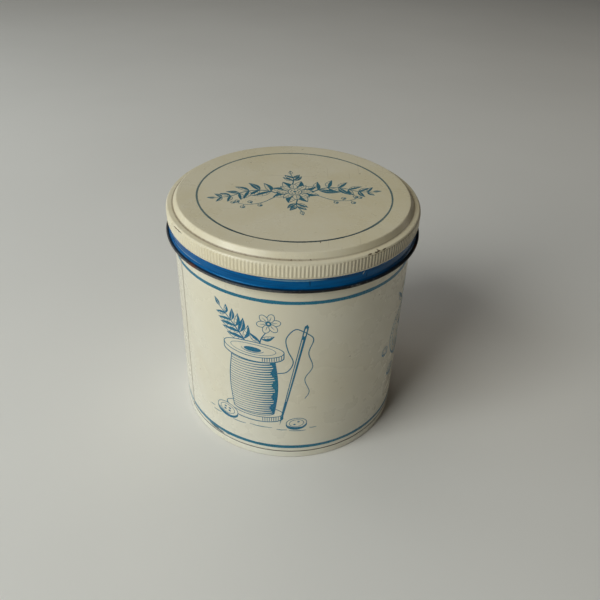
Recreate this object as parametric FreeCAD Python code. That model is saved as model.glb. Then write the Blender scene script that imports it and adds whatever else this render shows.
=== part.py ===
import FreeCAD, Part
import math
import os

# Round tinplate box with a lift-off lid.
# Millimetres, +Z up, origin at the centre of the foot, on the surface the tin
# stands on. The side seam is on the -X side, a little towards -Y.

# ---------------------------------------------------------------- dimensions
sheet_t = 0.30            # tinplate with its enamel, all three sheets

body_r = 55.0             # outside radius of the wall
curl_hollow_r = 0.35      # inside radius of the rolled mouth
curl_turn = 295.0         # degrees the mouth is rolled outward
curl_centre_z = 111.867   # height of the middle of the rolled mouth

foot_r = 55.05            # outside radius of the bottom double seam
foot_flat = 0.50          # width of the flat ring the tin stands on
seam_top_z = 4.0          # top of the double seam
seam_gap = 0.05           # play between the layers of the double seam
body_hook_top_z = 3.2     # upper end of the wall's hook in the seam
body_hook_low_z = 0.52    # lowest point of the wall's hook
end_hook_low_z = 1.25     # lower end of the bottom's hook
neck_start_z = 3.87       # where the wall starts to widen above the seam
panel_z = 3.60            # underside of the bottom's outer panel
panel_corner_r = 0.70     # bend from the bottom's panel to its wall
panel_step_r = 44.0       # radius of the stiffening step in the bottom
panel_step_bend = 1.20    # bend radius of that step

lock_width = 4.5          # width of the folded side seam
lock_depth = 0.95         # how far its folds stand into the tin
lock_low_z = 6.2
lock_high_z = 107.5
lock_azimuth = 206.3      # degrees from +X, counter-clockwise seen from above
groove_w = 0.30           # line of the side seam on the outside
groove_d = 0.16
solder_leg = 0.60         # legs of the solder bead in section

lid_top_z = 115.65        # top of the raised panel
lid_panel_r = 52.20       # flat part of the panel
lid_panel_bend = 0.90     # bend from the panel to its sloping shoulder
lid_step_angle = 54.0     # slope of the shoulder
lid_step_len = 2.45
lid_corner_r = 0.45       # bend from the shoulder to the ledge round it
lid_ledge_fall = 4.0      # how far the ledge slopes down outward
lid_rim_r = 0.80          # bend from the ledge to the skirt
skirt_r = 57.10           # outside radius of the skirt between the ribs
band_r = 56.60            # outside radius of the plain band below the ribs
band_bend_z = 106.45      # where the skirt starts to draw in to the band
band_bend_r = 0.70        # first of the two bends there
band_bend_angle = 52.0
lip_r = 58.25             # widest radius, on the hemmed lip
lip_z = 100.42            # height of the middle of the lip's edge
lip_fillet_r = 0.90       # hollow bend from the band to the lip
lip_slope = 12.0          # how far the lip slopes down outward
hem_r = 0.50              # outside bend of the hem
hem_return = 0.70         # how far the hem goes back under the lip

rib_count = 228           # upright ribs round the skirt
rib_crest_r = 57.42
rib_root_r = 57.22
rib_low_z = 106.75
rib_high_z = 112.45


# ------------------------------------------------------------------- helpers
def vec(r, z):
    return FreeCAD.Vector(r, 0.0, z)


def left_of(angle):
    return (-math.sin(angle), math.cos(angle))


def sheet_section(start, heading_deg, steps, thickness, side):
    """Closed section of a bent sheet in the R-Z plane.

    steps follow one face of the sheet: ("L", length) is straight, and
    ("A", radius, turn) bends by turn degrees, positive to the left. The other
    face lies at the sheet's thickness to the left (side 1) or right (side -1).
    """
    pos = start
    ang = math.radians(heading_deg)
    near, far = [], []

    def shifted(p, a):
        n = left_of(a)
        return (p[0] + n[0] * side * thickness, p[1] + n[1] * side * thickness)

    first_near, first_far = pos, shifted(pos, ang)
    for step in steps:
        if step[0] == "L":
            end = (pos[0] + math.cos(ang) * step[1], pos[1] + math.sin(ang) * step[1])
            near.append(Part.LineSegment(vec(*pos), vec(*end)).toShape())
            far.append(Part.LineSegment(vec(*shifted(pos, ang)), vec(*shifted(end, ang))).toShape())
            pos = end
        else:
            radius, turn = step[1], math.radians(step[2])
            sgn = 1.0 if turn > 0 else -1.0
            n = left_of(ang)
            centre = (pos[0] + n[0] * sgn * radius, pos[1] + n[1] * sgn * radius)
            far_radius = radius - sgn * side * thickness

            def on(rad, a):
                m = left_of(a)
                return (centre[0] - m[0] * sgn * rad, centre[1] - m[1] * sgn * rad)

            mid_ang, end_ang = ang + turn / 2.0, ang + turn
            near.append(Part.Arc(vec(*on(radius, ang)), vec(*on(radius, mid_ang)), vec(*on(radius, end_ang))).toShape())
            far.append(Part.Arc(vec(*on(far_radius, ang)), vec(*on(far_radius, mid_ang)), vec(*on(far_radius, end_ang))).toShape())
            pos, ang = on(radius, end_ang), end_ang
    last_near, last_far = pos, shifted(pos, ang)
    edges = list(near)
    edges.append(Part.LineSegment(vec(*last_near), vec(*last_far)).toShape())
    edges.extend(reversed(far))
    edges.append(Part.LineSegment(vec(*first_far), vec(*first_near)).toShape())
    wire = Part.Wire(Part.__sortEdges__(edges))
    return Part.Face(wire)


def turned(face):
    solid = face.revolve(FreeCAD.Vector(0, 0, 0), FreeCAD.Vector(0, 0, 1), 360.0)
    if solid.ShapeType != "Solid":
        solid = Part.Solid(solid.Shells[0])
    if solid.Volume < 0:
        solid.reverse()
    return solid


def turned_polygon(points):
    wire = Part.makePolygon([vec(*p) for p in points] + [vec(*points[0])])
    return turned(Part.Face(wire))


def one_solid(shape):
    shape = shape.removeSplitter()
    return shape.Solids[0] if len(shape.Solids) == 1 else shape


def cos_d(a):
    return math.cos(math.radians(a))


def sin_d(a):
    return math.sin(math.radians(a))


# ------------------------------------------------- layers of the double seam
# From outside to inside: bottom, wall hook, bottom hook, wall, bottom.
end_outer = foot_r
hook_outer = end_outer - sheet_t - seam_gap
end_hook_inner = hook_outer - sheet_t - seam_gap - sheet_t
wall_outer = end_hook_inner - seam_gap
wall_inner = wall_outer - sheet_t
chuck_inner = wall_inner - seam_gap - sheet_t
foot_bend_r = (end_outer - chuck_inner - foot_flat) / 2.0   # bends either side of the flat

# ----------------------------------------------------------------- body wall
hook_bend = (hook_outer - wall_inner) / 2.0
hook_centre_z = body_hook_low_z + hook_bend
widen = (body_r - sheet_t) - wall_inner
neck_angle = 75.0
neck_sum = widen / (1.0 - cos_d(neck_angle))
neck_r1 = 0.40
neck_r2 = neck_sum - neck_r1
neck_end_z = neck_start_z + neck_sum * sin_d(neck_angle)
body_section = sheet_section(
    (hook_outer, body_hook_top_z), -90.0,
    [
        ("L", body_hook_top_z - hook_centre_z),
        ("A", hook_bend, -180.0),
        ("L", neck_start_z - hook_centre_z),
        ("A", neck_r1, -neck_angle),
        ("A", neck_r2, neck_angle),
        ("L", curl_centre_z - neck_end_z),
        ("A", curl_hollow_r + sheet_t, -curl_turn),
    ],
    sheet_t, -1)
body_wall = turned(body_section)

# Folded lock seam: its layers stand into the tin, and a fine line shows outside.
inner_r = body_r - sheet_t
lock = Part.makeBox(lock_depth + 0.15, lock_width, lock_high_z - lock_low_z,
                    FreeCAD.Vector(inner_r - lock_depth, -lock_width / 2.0, lock_low_z))
upright = [e for e in lock.Edges
           if abs(e.Vertexes[0].Point.z - e.Vertexes[1].Point.z) > 1.0 and e.Vertexes[0].Point.x < inner_r - 0.5]
lock = lock.makeFillet(0.35, upright)
groove = Part.makeBox(2.0, groove_w, 110.6 - (neck_end_z + 0.1),
                      FreeCAD.Vector(body_r - groove_d, lock_width / 2.0 - groove_w, neck_end_z + 0.1))
for piece in (lock, groove):
    piece.rotate(FreeCAD.Vector(0, 0, 0), FreeCAD.Vector(0, 0, 1), lock_azimuth)
body_wall = one_solid(body_wall.fuse(lock).cut(groove))

# Solder in the corner between the fold and the wall, inside the tin.
solder_face = Part.Face(Part.makePolygon([
    FreeCAD.Vector(inner_r + 0.10, -lock_width / 2.0, lock_low_z + 0.6),
    FreeCAD.Vector(inner_r - solder_leg, -lock_width / 2.0, lock_low_z + 0.6),
    FreeCAD.Vector(inner_r + 0.10, -lock_width / 2.0 - solder_leg - 0.10, lock_low_z + 0.6),
    FreeCAD.Vector(inner_r + 0.10, -lock_width / 2.0, lock_low_z + 0.6),
]))
solder = solder_face.extrude(FreeCAD.Vector(0, 0, lock_high_z - lock_low_z - 1.2))
solder.rotate(FreeCAD.Vector(0, 0, 0), FreeCAD.Vector(0, 0, 1), lock_azimuth)
bore = Part.makeCylinder(inner_r, 120.0)
side_seam_solder = one_solid(solder.common(bore).cut(body_wall))

# ---------------------------------------------------------------- bottom end
step_drop = 2.0 * panel_step_bend * (1.0 - cos_d(30.0))
step_run = 2.0 * panel_step_bend * sin_d(30.0)
end_bend = (end_outer - end_hook_inner) / 2.0
end_bend_z = seam_top_z - end_bend
end_section = sheet_section(
    (0.0, panel_z + step_drop), 0.0,
    [
        ("L", panel_step_r),
        ("A", panel_step_bend, -30.0),
        ("A", panel_step_bend, 30.0),
        ("L", chuck_inner - panel_corner_r - panel_step_r - step_run),
        ("A", panel_corner_r, -90.0),
        ("L", panel_z - panel_corner_r - foot_bend_r),
        ("A", foot_bend_r, 90.0),
        ("L", end_outer - chuck_inner - 2.0 * foot_bend_r),
        ("A", foot_bend_r, 90.0),
        ("L", end_bend_z - foot_bend_r),
        ("A", end_bend, 180.0),
        ("L", end_bend_z - end_hook_low_z),
    ],
    sheet_t, 1)
bottom_end = turned(end_section)

# Lining compound between the foot and the wall's hook.
bottom_seam_compound = turned_polygon([
    (chuck_inner + foot_bend_r, sheet_t), (end_outer - foot_bend_r, sheet_t),
    (end_outer - foot_bend_r, body_hook_low_z - 0.04), (chuck_inner + foot_bend_r, body_hook_low_z - 0.04)])

# ----------------------------------------------------------------- lid shell
ledge_start_r = (lid_panel_r + lid_panel_bend * sin_d(lid_step_angle) + lid_step_len * cos_d(lid_step_angle)
                 + lid_corner_r * (sin_d(lid_step_angle) - sin_d(lid_ledge_fall)))
ledge_len = (skirt_r - lid_rim_r * (1.0 - sin_d(lid_ledge_fall)) - ledge_start_r) / cos_d(lid_ledge_fall)
skirt_top_z = (lid_top_z - lid_panel_bend * (1.0 - cos_d(lid_step_angle)) - lid_step_len * sin_d(lid_step_angle)
               - lid_corner_r * (cos_d(lid_ledge_fall) - cos_d(lid_step_angle))
               - ledge_len * sin_d(lid_ledge_fall) - lid_rim_r * cos_d(lid_ledge_fall))
band_bend_r2 = (skirt_r - band_r) / (1.0 - cos_d(band_bend_angle)) - band_bend_r
band_top_z = band_bend_z - (band_bend_r + band_bend_r2) * sin_d(band_bend_angle)
lip_end_r = lip_r - hem_r + hem_r * sin_d(lip_slope)
lip_end_z = lip_z + hem_r * cos_d(lip_slope)
lip_len = (lip_end_r - band_r - lip_fillet_r * (1.0 - sin_d(lip_slope))) / cos_d(lip_slope)
band_low_z = lip_end_z + lip_len * sin_d(lip_slope) + lip_fillet_r * cos_d(lip_slope)
lid_section = sheet_section(
    (0.0, lid_top_z), 0.0,
    [
        ("L", lid_panel_r),
        ("A", lid_panel_bend, -lid_step_angle),
        ("L", lid_step_len),
        ("A", lid_corner_r, lid_step_angle - lid_ledge_fall),
        ("L", ledge_len),
        ("A", lid_rim_r, lid_ledge_fall - 90.0),
        ("L", skirt_top_z - band_bend_z),
        ("A", band_bend_r, -band_bend_angle),
        ("A", band_bend_r2, band_bend_angle),
        ("L", band_top_z - band_low_z),
        ("A", lip_fillet_r, 90.0 - lip_slope),
        ("L", lip_len),
        ("A", hem_r, -180.0),
        ("L", hem_return),
    ],
    sheet_t, -1)
lid_shell = turned(lid_section)

# Upright ribs pressed round the skirt, run out at both ends.
rib_points = []
for i in range(rib_count):
    for k, r in ((0.0, rib_root_r), (0.5, rib_crest_r)):
        a = 2.0 * math.pi * (i + k) / rib_count
        rib_points.append(FreeCAD.Vector(r * math.cos(a), r * math.sin(a), rib_low_z - 0.5))
rib_points.append(rib_points[0])
rib_prism = Part.Face(Part.makePolygon(rib_points)).extrude(FreeCAD.Vector(0, 0, rib_high_z - rib_low_z + 1.0))
rib_envelope = turned_polygon([
    (56.95, rib_low_z), (57.15, rib_low_z), (57.50, rib_low_z + 0.35), (57.50, rib_high_z - 0.90),
    (57.35, rib_high_z - 0.35), (56.93, rib_high_z), (56.85, rib_high_z), (56.95, rib_high_z - 0.90)])
ribs = rib_prism.common(rib_envelope)
lid_shell = one_solid(lid_shell.fuse(ribs))

# ------------------------------------------------------------------- writing
nodes = {
    "body_wall": body_wall,
    "side_seam_solder": side_seam_solder,
    "bottom_end": bottom_end,
    "bottom_seam_compound": bottom_seam_compound,
    "lid_shell": lid_shell,
}
os.makedirs("parts", exist_ok=True)
for name, shape in nodes.items():
    box = shape.BoundBox
    print("%-22s valid %s solids %d faces %4d volume %9.1f  R %.3f  z %.3f .. %.3f" % (
        name, shape.isValid(), len(shape.Solids), len(shape.Faces), shape.Volume, box.XMax, box.ZMin, box.ZMax))
    shape.exportStep("parts/%s.step" % name)
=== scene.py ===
import math

import bpy
import numpy as np
from mathutils import Matrix, Vector
from mathutils.geometry import delaunay_2d_cdt


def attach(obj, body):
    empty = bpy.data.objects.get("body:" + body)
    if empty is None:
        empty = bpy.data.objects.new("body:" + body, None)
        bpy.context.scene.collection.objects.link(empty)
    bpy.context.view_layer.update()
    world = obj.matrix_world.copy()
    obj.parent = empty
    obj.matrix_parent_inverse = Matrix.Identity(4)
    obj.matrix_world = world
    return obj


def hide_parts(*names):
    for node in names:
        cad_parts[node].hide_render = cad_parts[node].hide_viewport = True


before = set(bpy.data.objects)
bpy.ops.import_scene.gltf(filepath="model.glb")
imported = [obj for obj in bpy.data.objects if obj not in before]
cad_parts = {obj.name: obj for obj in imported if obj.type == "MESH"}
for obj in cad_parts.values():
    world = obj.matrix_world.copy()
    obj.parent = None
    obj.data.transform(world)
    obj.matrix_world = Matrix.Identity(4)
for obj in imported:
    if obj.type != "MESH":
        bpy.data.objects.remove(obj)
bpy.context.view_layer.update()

# Round printed tin with a lift-off lid. Lengths below are in millimetres and
# are written to the meshes in metres. Angles go round from the front (-Y)
# towards +X, so that a point is at (R sin a, -R cos a, z).
MM = 0.001
D2R = math.pi / 180.0
SHEET = 0.30

SEAM_LINE = -61.5 * D2R        # fine line of the side seam on the outside
FOLD_MID = -63.7 * D2R         # middle of its folds inside
FOLD_HALF = 2.25               # half their width
FOLD_DEPTH = 0.95
FOLD_LOW, FOLD_HIGH = 6.2, 107.5
RIBS = 228


# ------------------------------------------------------------------ utilities
def lin(r, g, b):
    def one(c):
        c /= 255.0
        return c / 12.92 if c <= 0.04045 else ((c + 0.055) / 1.055) ** 2.4
    return (one(r), one(g), one(b), 1.0)


def sstep(x, lo, hi):
    t = np.clip((np.asarray(x, float) - lo) / (hi - lo), 0.0, 1.0)
    return t * t * (3.0 - 2.0 * t)


def wrap(a):
    return (np.asarray(a, float) + math.pi) % (2.0 * math.pi) - math.pi


def path(start, heading, steps):
    """Samples of one face of a bent sheet as (R, z, direction).

    ("L", length, cuts) is straight, with cuts a count or a list of distances;
    ("A", radius, turn, count) bends by turn degrees, positive to the left.
    """
    r, z = start
    a = heading * D2R
    out = [(r, z, a)]
    for step in steps:
        if step[0] == "L":
            cuts = step[2]
            if isinstance(cuts, int):
                cuts = [step[1] * (i + 1) / cuts for i in range(cuts)]
            else:
                cuts = [c for c in cuts if 0.0 < c < step[1] - 1e-6] + [step[1]]
            for c in cuts:
                out.append((r + math.cos(a) * c, z + math.sin(a) * c, a))
            r, z = out[-1][0], out[-1][1]
        else:
            rad, turn, count = step[1], step[2] * D2R, step[3]
            s = 1.0 if turn > 0 else -1.0
            cr, cz = r - math.sin(a) * s * rad, z + math.cos(a) * s * rad
            for i in range(count):
                b = a + turn * (i + 1) / count
                out.append((cr + math.sin(b) * s * rad, cz - math.cos(b) * s * rad, b))
            a += turn
            r, z = out[-1][0], out[-1][1]
    return out


def shift(points, side, t=SHEET):
    return [(r - math.sin(a) * side * t, z + math.cos(a) * side * t, a) for r, z, a in points]


class Row:
    def __init__(self, r, z, kind, k=1, m=0, chart=0):
        self.r, self.z, self.kind, self.k, self.m, self.chart = r, z, kind, k, m, chart
        self.s = 0.0


def turned_skin(name, rows, angles, place, charts, close=False, flip=False):
    """Mesh turned from rows; a row has len(angles) * row.k points, or one on the axis."""
    base = np.asarray(angles, float)
    nxt = np.append(base[1:], base[0] + 2.0 * math.pi)
    s = 0.0
    for i, row in enumerate(rows):
        if i:
            s += math.hypot(row.r - rows[i - 1].r, row.z - rows[i - 1].z)
        row.s = s
    verts, index, turns = [], [], []
    count = 0
    for row in rows:
        if row.r < 1e-6:
            verts.append(np.array([[0.0, 0.0, row.z]]))
            index.append(np.array([count]))
            turns.append(np.array([0.0]))
            count += 1
            continue
        a = np.concatenate([base[:, None] + (nxt - base)[:, None] * (np.arange(row.k) / row.k)[None, :]], 1).ravel()
        r, z = place(row, a)
        verts.append(np.stack([r * np.sin(a), -r * np.cos(a), z + 0.0 * a], 1))
        index.append(np.arange(count, count + len(a)))
        turns.append(np.append(a, a[0] + 2.0 * math.pi))
        count += len(a)
    xyz = np.concatenate(verts)
    faces, mats, uvs = [], [], []
    span = {}
    for row in rows:
        lo, hi = span.get(row.chart, (row.s, row.s))
        span[row.chart] = (min(lo, row.s), max(hi, row.s))

    def uv(i, j, chart):
        kind, u0, v0, u1, v1 = charts[chart][:5]
        row = rows[i]
        n = len(index[i])
        if kind == "disc":
            p = xyz[index[i][j % n]]
            big = charts[chart][5]
            return (u0 + (u1 - u0) * (0.5 + 0.5 * p[0] / big), v0 + (v1 - v0) * (0.5 + 0.5 * p[1] / big))
        t = (turns[i][j] - base[0]) / (2.0 * math.pi) if n > 1 else 0.5
        lo, hi = span[chart]
        f = (row.s - lo) / max(hi - lo, 1e-9)
        return (u0 + (u1 - u0) * t, v0 + (v1 - v0) * f)

    bands = [(i, i + 1) for i in range(len(rows) - 1)] + ([(len(rows) - 1, 0)] if close else [])
    for i0, i1 in bands:
        na, nb = len(index[i0]), len(index[i1])
        if na == 1 and nb == 1:
            continue
        m, chart = rows[i0].m, rows[i0].chart
        if na == nb:
            cells = [[(i0, j), (i1, j), (i1, j + 1), (i0, j + 1)] for j in range(na)]
        elif na == 1:
            cells = [[(i0, 0), (i1, j), (i1, j + 1)] for j in range(nb)]
        elif nb == 1:
            cells = [[(i0, j), (i1, 0), (i0, j + 1)] for j in range(na)]
        elif nb > na:
            k = nb // na
            h = k // 2
            cells = []
            for j in range(na):
                for q in range(h):
                    cells.append([(i0, j), (i1, j * k + q), (i1, j * k + q + 1)])
                cells.append([(i0, j), (i1, j * k + h), (i0, j + 1)])
                for q in range(h, k):
                    cells.append([(i0, j + 1), (i1, j * k + q), (i1, j * k + q + 1)])
        else:
            k = na // nb
            h = k // 2
            cells = []
            for j in range(nb):
                for q in range(h):
                    cells.append([(i1, j), (i0, j * k + q + 1), (i0, j * k + q)])
                cells.append([(i1, j), (i1, j + 1), (i0, j * k + h)])
                for q in range(h, k):
                    cells.append([(i1, j + 1), (i0, j * k + q + 1), (i0, j * k + q)])
        for cell in cells:
            ids = [int(index[i][j % len(index[i])]) for i, j in cell]
            loops = [uv(i, j, chart) for i, j in cell]
            if flip:
                ids.reverse()
                loops.reverse()
            faces.append(ids)
            mats.append(m)
            uvs.extend(loops)
    mesh = bpy.data.meshes.new(name)
    mesh.from_pydata((xyz * MM).tolist(), [], faces)
    layer = mesh.uv_layers.new(name="OFBake")
    layer.data.foreach_set("uv", np.asarray(uvs, np.float32).ravel())
    mesh.polygons.foreach_set("material_index", np.asarray(mats, np.int32))
    mesh.polygons.foreach_set("use_smooth", np.ones(len(faces), bool))
    mesh.update()
    mesh.set_sharp_from_angle(angle=50.0 * D2R)
    obj = bpy.data.objects.new(name, mesh)
    bpy.context.scene.collection.objects.link(obj)
    return obj


# ------------------------------------------------------------------ materials
class Nodes:
    """Small helper that builds one node material."""

    def __init__(self, name):
        self.mat = bpy.data.materials.new(name)
        self.mat.use_nodes = True
        self.tree = self.mat.node_tree
        self.tree.nodes.clear()
        self.out = self.node("ShaderNodeOutputMaterial")
        self.bsdf = self.node("ShaderNodeBsdfPrincipled")
        self.tree.links.new(self.bsdf.outputs[0], self.out.inputs[0])
        coord = self.node("ShaderNodeTexCoord")
        self.pos = self.vscale(coord.outputs["Object"], 1000.0)
        sep = self.node("ShaderNodeSeparateXYZ")
        self.tree.links.new(self.pos, sep.inputs[0])
        self.x, self.y, self.z = sep.outputs
        self.r = self.math("SQRT", self.math("ADD", self.math("MULTIPLY", self.x, self.x), self.math("MULTIPLY", self.y, self.y)))
        self.a = self.math("ARCTAN2", self.x, self.math("MULTIPLY", self.y, -1.0))

    def node(self, kind, **props):
        n = self.tree.nodes.new(kind)
        for k, v in props.items():
            setattr(n, k, v)
        return n

    def put(self, socket, value):
        if isinstance(value, bpy.types.NodeSocket):
            self.tree.links.new(value, socket)
        else:
            socket.default_value = value

    def set(self, name, value):
        self.put(self.bsdf.inputs[name], value)

    def math(self, op, a, b=0.0, c=0.0, clamp=False):
        n = self.node("ShaderNodeMath", operation=op, use_clamp=clamp)
        self.put(n.inputs[0], a)
        self.put(n.inputs[1], b)
        self.put(n.inputs[2], c)
        return n.outputs[0]

    def vscale(self, v, s):
        n = self.node("ShaderNodeVectorMath", operation="SCALE")
        self.put(n.inputs[0], v)
        self.put(n.inputs["Scale"], s)
        return n.outputs[0]

    def stretch(self, sx, sy, sz):
        n = self.node("ShaderNodeVectorMath", operation="MULTIPLY")
        self.put(n.inputs[0], self.pos)
        n.inputs[1].default_value = (sx, sy, sz)
        return n.outputs[0]

    def vec(self, x, y, z):
        n = self.node("ShaderNodeCombineXYZ")
        self.put(n.inputs[0], x)
        self.put(n.inputs[1], y)
        self.put(n.inputs[2], z)
        return n.outputs[0]

    def smooth(self, x, lo, hi, a=0.0, b=1.0):
        n = self.node("ShaderNodeMapRange", interpolation_type="SMOOTHSTEP")
        self.put(n.inputs["Value"], x)
        n.inputs["From Min"].default_value = lo
        n.inputs["From Max"].default_value = hi
        n.inputs["To Min"].default_value = a
        n.inputs["To Max"].default_value = b
        return n.outputs["Result"]

    def noise(self, scale, detail=3.0, rough=0.55, vec=None):
        n = self.node("ShaderNodeTexNoise")
        self.put(n.inputs["Vector"], self.pos if vec is None else vec)
        n.inputs["Scale"].default_value = scale
        n.inputs["Detail"].default_value = detail
        n.inputs["Roughness"].default_value = rough
        return n.outputs["Fac"]

    def cells(self, scale, vec=None):
        n = self.node("ShaderNodeTexVoronoi")
        self.put(n.inputs["Vector"], self.pos if vec is None else vec)
        n.inputs["Scale"].default_value = scale
        return n.outputs["Distance"], n.outputs["Color"]

    def mix(self, f, a, b, blend="MIX"):
        n = self.node("ShaderNodeMix", data_type="RGBA", blend_type=blend)
        self.put(n.inputs["Factor"], f)
        self.put(n.inputs[6], a)
        self.put(n.inputs[7], b)
        return n.outputs[2]

    def mul(self, *terms):
        out = terms[0]
        for t in terms[1:]:
            out = self.math("MULTIPLY", out, t)
        return out

    def most(self, *terms):
        out = terms[0]
        for t in terms[1:]:
            out = self.math("MAXIMUM", out, t)
        return out

    def invert(self, x):
        return self.math("SUBTRACT", 1.0, x)

    def mark(self, a, b, a0, b0, la, lb, turn=0.0, rag=0.9, noise=None, soft=0.35):
        """Ragged oval at (a0, b0) in the two coordinates a and b, half lengths la and lb."""
        c, s = math.cos(turn * D2R), math.sin(turn * D2R)
        da, db = self.math("SUBTRACT", a, a0), self.math("SUBTRACT", b, b0)
        p = self.math("ADD", self.math("MULTIPLY", da, c / la), self.math("MULTIPLY", db, s / la))
        q = self.math("ADD", self.math("MULTIPLY", da, -s / lb), self.math("MULTIPLY", db, c / lb))
        d = self.math("SQRT", self.math("ADD", self.math("MULTIPLY", p, p), self.math("MULTIPLY", q, q)))
        if noise is not None:
            d = self.math("ADD", d, self.math("MULTIPLY", self.math("SUBTRACT", noise, 0.5), rag))
        return self.smooth(d, 1.0 - soft, 1.0, 1.0, 0.0)

    def bump(self, height, strength, distance, normal=None):
        n = self.node("ShaderNodeBump")
        n.inputs["Strength"].default_value = strength
        n.inputs["Distance"].default_value = distance
        self.put(n.inputs["Height"], height)
        if normal is not None:
            self.put(n.inputs["Normal"], normal)
        return n.outputs[0]


CREAM = lin(224, 218, 198)
CREAM_OLD = lin(216, 202, 163)
CREAM_PALE = lin(228, 222, 203)
BROWN = lin(104, 78, 48)
DARK = lin(46, 38, 32)
RUST = lin(112, 62, 30)
LID_CREAM = lin(227, 217, 190)
BLUE = lin(0, 92, 152)
BLUE_DEEP = lin(0, 74, 128)


def enamel_base(g, drift=1.0, cream=CREAM, mottle=0.30):
    """Aged cream enamel: slow yellowing, fine mottling, sparse brown freckles."""
    slow = g.smooth(g.noise(0.022, 4.0, 0.6), 0.35, 0.68)
    fine = g.noise(0.55, 3.0, 0.6)
    col = g.mix(g.mul(slow, 0.55 * drift), cream, CREAM_OLD)
    col = g.mix(g.smooth(fine, 0.45, 0.8, 0.0, mottle), col, CREAM_PALE)
    dist, tone = g.cells(0.085)
    pick = g.smooth(tone, 0.62, 0.70)
    freckle = g.mul(g.smooth(g.math("ADD", dist, g.math("MULTIPLY", fine, 0.02)), 0.020, 0.042, 1.0, 0.0), pick)
    col = g.mix(g.mul(freckle, 0.55), col, BROWN)
    return col, slow, fine, freckle


def scuffs(g, stretch, scale, lo, hi):
    """Hairline scratches: a noise drawn out along one direction."""
    return g.smooth(g.noise(scale, 2.0, 0.4, g.stretch(*stretch)), lo, hi)


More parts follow.
